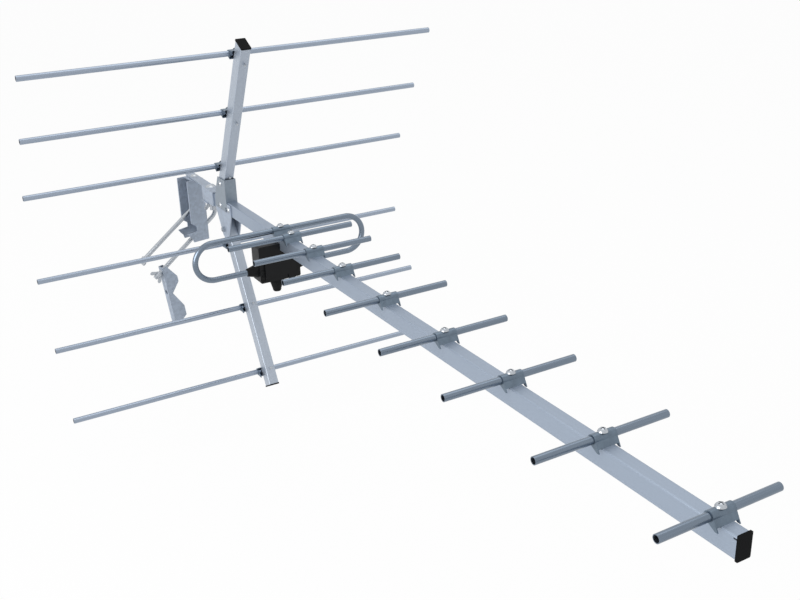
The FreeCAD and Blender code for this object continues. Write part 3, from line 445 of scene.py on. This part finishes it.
class ANTENNA_OT_fittings(AntennaOperator, bpy.types.Operator):
    """Give clips, brackets, bolts and nuts their plated steel"""

    bl_idname = "antenna.fittings"
    bl_label = "Finish the fittings"

    def execute(self, context):
        # Pressed steel with passivated zinc: slight cloudiness, and a dark grey that is partly painted shade,
        # the shade on the clips' webs.
        clip = finish("ZincPressingPaintedShade", self.finishes.clip, 0.8, 0.38, (6, 6, 6), 0.12, 0.02)
        dress(clip, *nodes_with("_clip"))
        # Hot-dip galvanised sheet: pale crystals of zinc a few millimetres wide, each its own shade.
        hot_dip = finish("HotDipGalvanisedSheet", self.finishes.galvanised, 0.35, 0.45, (9, 9, 9), 0.12,
                         0.03, flakes=4.5)
        dress(hot_dip, "arm_hanger", "rear_bracket", "rear_washer", "mast_bracket", "clamp_jaw")
        # Electroplated zinc on bent sheet: even and satin.
        satin = finish("ElectroplatedZincSheet", self.finishes.saddle, 0.75, 0.4, (5, 5, 5), 0.08, 0.015)
        dress(satin, "arm_saddle")
        # Bright zinc on turned and rolled steel: cleaner and glossier than the sheet.
        bright = finish("BrightZincSteel", self.finishes.bolt, 0.9, 0.27, (2.5, 2.5, 2.5), 0.08, 0.01)
        dress(bright, *nodes_with("bolt", "nut", "screw"))
        # Machined brass terminals on a paper laminate board, inside the box.
        brass = finish("MachinedBrass", linear("#C9A45C"), 0.95, 0.3, (1, 1, 1), 0.06, 0.01)
        dress(brass, "terminal_screws")
        laminate = finish("PaperLaminate", linear("#7A5B34"), 0.0, 0.6, (3, 3, 3), 0.1, 0.02)
        dress(laminate, "terminal_board")
        return {"FINISHED"}


class ANTENNA_OT_mouldings(AntennaOperator, bpy.types.Operator):
    """Give the box, the caps and the rubber pieces their finish"""

    bl_idname = "antenna.mouldings"
    bl_label = "Finish the mouldings"

    def execute(self, context):
        # Injection-moulded polypropylene: black with a fine spark-eroded grain that breaks the highlight.
        black = finish("MouldedPolypropylene", self.finishes.black, 0.0, 0.42, (0.9, 0.9, 0.9), 0.15, 0.04,
                       gloss=0.2)
        dress(black, "junction_box_base", "junction_box_cover")
        # Moulded polyethylene: black and waxy, with less of a highlight.
        matt = finish("MouldedPolyethylene", self.finishes.black, 0.0, 0.55, (0.9, 0.9, 0.9), 0.15, 0.04,
                      gloss=0.05)
        dress(matt, "boom_front_cap", "upper_arm_cap", "lower_arm_cap")
        # Moulded rubber: matt black.
        rubber = finish("MouldedRubber", self.finishes.rubber, 0.0, 0.7, (1.2, 1.2, 1.2), 0.12, 0.03,
                        gloss=0.2)
        dress(rubber, "dipole_boots", "cable_gland", "box_seal")
        return {"FINISHED"}


class ANTENNA_OT_threads(AntennaOperator, bpy.types.Operator):
    """Roll the threads on the U-bolt's legs and on the rear bolt"""

    bl_idname = "antenna.threads"
    bl_label = "Roll the threads"

    def execute(self, context):
        material = bpy.data.materials["BrightZincSteel"]
        legs = []
        for joint, nut in (("upper_nut_turn", "upper_wing_nut"), ("lower_nut_turn", "lower_wing_nut")):
            place = leg_frame(JOINTS[joint])
            end = span_along("u_bolt", place, SHANK_SEARCH)[1]
            gaps = [span_along(nut, place, SHANK_SEARCH)]
            if joint == "lower_nut_turn":
                gaps.append(span_along("clamp_jaw", place, SHANK_SEARCH))
            legs += threads(self.details, material, place, end - self.details.threaded_length,
                            end - self.details.thread_pitch / 2, gaps)
        joined("leg_threads", legs, material, "clamp")
        place = leg_frame(JOINTS["rear_nut_turn"])
        low = span_along("rear_bolt", place, SHANK_SEARCH)[0]
        gaps = [span_along("rear_wing_nut", place, SHANK_SEARCH)]
        tail = threads(self.details, material, place, low + self.details.thread_pitch / 2, gaps[0][0], [])
        joined("rear_bolt_threads", tail, material, "antenna")
        return {"FINISHED"}


class ANTENNA_OT_ribs(AntennaOperator, bpy.types.Operator):
    """Add the ribs of the cable gland and the grip ribs of the cover"""

    bl_idname = "antenna.ribs"
    bl_label = "Add the ribs"

    def execute(self, context):
        low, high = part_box("cable_gland")
        box_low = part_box("junction_box_base")[0]
        along, across = middle("folded_dipole").x, (low.y + high.y) / 2
        rubber = bpy.data.materials["MouldedRubber"]
        tip, root = low.z + GLAND_TIP_INSET, box_low.z - GLAND_ROOT_DROP
        count = self.details.gland_ribs
        inputs = {"Count": count, "Spacing": (root - tip) / count, "First Radius": GLAND_TIP_RADIUS,
                  "Last Radius": GLAND_ROOT_RADIUS, "Ridge": self.details.gland_rib}
        tree = ring_stack("GlandRibs", rubber)
        rings = grown(tree, inputs, Matrix.Translation((along, across, tip)))
        joined("gland_ribs", [rings], rubber, "antenna")

        black = bpy.data.materials["MouldedPolypropylene"]
        width, pitch = self.details.grip_rib, 2 * self.details.grip_rib
        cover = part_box("junction_box_cover")
        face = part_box("box_seal")[1].x + COVER_RIM
        bars = []
        for step in range(self.details.grip_ribs):
            start = cover[0].y + GRIP_INSET + step * pitch
            foot = cover[0].z + GRIP_FOOT
            bars.append(block_mesh((face - GRIP_SINK, start, foot),
                                   (face + GRIP_RISE, start + width, foot + self.details.grip_height)))
        joined("grip_ribs", bars, black, "antenna")
        return {"FINISHED"}


class ANTENNA_OT_stage(AntennaOperator, bpy.types.Operator):
    """Set the floor, the lamps, the white surround and the camera"""

    bl_idname = "antenna.stage"
    bl_label = "Set the stage"

    def execute(self, context):
        scene = bpy.context.scene
        stage = scene.antenna_stage
        low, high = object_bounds()
        self.surround(scene, stage)
        centre = (low + high) / 2
        self.floor(low.z - FLOOR_DROP, centre)
        self.lamp("KeyLamp", stage.key, *KEY_LAMP, centre)
        self.lamp("TopLamp", stage.top, *TOP_LAMP, centre)
        camera = bpy.data.objects.new("PhotoCamera", bpy.data.cameras.new("PhotoCamera"))
        scene.collection.objects.link(camera)
        camera.data.sensor_width = 36
        camera.data.lens = stage.lens
        camera.data.clip_start = 0.01
        a, e, roll = stage.azimuth, stage.elevation, stage.roll
        back = Vector((math.sin(a) * math.cos(e), -math.cos(a) * math.cos(e), math.sin(e)))
        right = Vector((math.cos(a), math.sin(a), 0))
        up = back.cross(right)
        level = right * math.cos(roll) + up * math.sin(roll)
        turn = Matrix((level, back.cross(level), back)).transposed()
        camera.matrix_world = Matrix.Translation(stage.place) @ turn.to_4x4()
        scene.camera = camera
        scene.view_settings.view_transform = "Standard"
        return {"FINISHED"}

    def surround(self, scene, stage):
        """White to the camera and in reflections, a plain level of light elsewhere."""
        world = bpy.data.worlds.new("WhiteSurround")
        world.use_nodes = True
        scene.world = world
        tree = world.node_tree
        clear = ray_mask(tree, "Is Camera Ray", "Is Glossy Ray", "Is Transmission Ray")
        level = add(tree, "ShaderNodeMapRange", Value=clear, To_Min=stage.sky, To_Max=1.0)
        tree.links.new(level.outputs["Result"], tree.nodes["Background"].inputs["Strength"])
        tree.nodes["Background"].inputs["Color"].default_value = (1, 1, 1, 1)

    def floor(self, height, centre):
        """A pale floor that keeps a soft shadow."""
        mesh = bpy.data.meshes.new("Floor")
        corners = [(centre.x + x * FLOOR_REACH, centre.y + y * FLOOR_REACH, height)
                   for x, y in ((-1, -1), (1, -1), (1, 1), (-1, 1))]
        mesh.from_pydata(corners, [], [(0, 1, 2, 3)])
        floor = bpy.data.objects.new("Floor", mesh)
        bpy.context.scene.collection.objects.link(floor)
        # Matt white paper: mostly its own white to the camera, so that only a faint shadow shows.
        paper = bpy.data.materials.new("MattWhitePaper")
        paper.use_nodes = True
        tree = paper.node_tree
        shader = tree.nodes["Principled BSDF"]
        shader.inputs["Base Color"].default_value = (0.9, 0.9, 0.9, 1)
        shader.inputs["Roughness"].default_value = 0.9
        share = add(tree, "ShaderNodeMath", operation="MULTIPLY")
        tree.links.new(ray_mask(tree, "Is Camera Ray", "Is Glossy Ray"), share.inputs[0])
        share.inputs[1].default_value = FLOOR_GLOW
        glow = add(tree, "ShaderNodeEmission", Strength=1.0)
        mixed = add(tree, "ShaderNodeMixShader", Fac=share.outputs[0])
        tree.links.new(shader.outputs["BSDF"], mixed.inputs[1])
        tree.links.new(glow.outputs["Emission"], mixed.inputs[2])
        tree.links.new(mixed.outputs["Shader"], tree.nodes["Material Output"].inputs["Surface"])
        mesh.materials.append(paper)
        floor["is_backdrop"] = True

    def lamp(self, name, power, size, offset, target):
        """A square soft lamp beside a point, which it faces."""
        light = bpy.data.lights.new(name, "AREA")
        light.energy = power
        light.size = size
        lamp = bpy.data.objects.new(name, light)
        bpy.context.scene.collection.objects.link(lamp)
        lamp.location = target + offset
        lamp.rotation_euler = (target - lamp.location).to_track_quat("-Z", "Y").to_euler()


class ANTENNA_PT_panel(bpy.types.Panel):
    """The antenna's pieces and settings"""

    bl_idname = "ANTENNA_PT_panel"
    bl_label = "Outdoor antenna"
    bl_space_type = "VIEW_3D"
    bl_region_type = "UI"
    bl_category = "Antenna"

    def draw(self, context):
        for operator in OPERATORS:
            self.layout.operator(operator.bl_idname)
        for group, kind in SETTINGS.items():
            settings = getattr(context.scene, group)
            box = self.layout.box()
            for name in kind.__annotations__:
                box.prop(settings, name)


OPERATORS = (ANTENNA_OT_tubes, ANTENNA_OT_rods, ANTENNA_OT_fittings, ANTENNA_OT_mouldings, ANTENNA_OT_threads,
             ANTENNA_OT_ribs, ANTENNA_OT_stage)
SETTINGS = {"antenna_finishes": AntennaFinishes, "antenna_details": AntennaDetails,
            "antenna_stage": AntennaStage}


def register():
    """Register the settings, the operators and the panel."""
    for kind in (*SETTINGS.values(), *OPERATORS, ANTENNA_PT_panel):
        bpy.utils.register_class(kind)
    for group, kind in SETTINGS.items():
        setattr(bpy.types.Scene, group, bpy.props.PointerProperty(type=kind))


def unregister():
    """Take them off again."""
    for group in SETTINGS:
        delattr(bpy.types.Scene, group)
    for kind in (ANTENNA_PT_panel, *OPERATORS, *SETTINGS.values()):
        bpy.utils.unregister_class(kind)


def main():
    """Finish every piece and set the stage."""
    register()
    for operator in OPERATORS:
        group, name = operator.bl_idname.split(".")
        getattr(getattr(bpy.ops, group), name)()


if __name__ == "__main__":
    main()
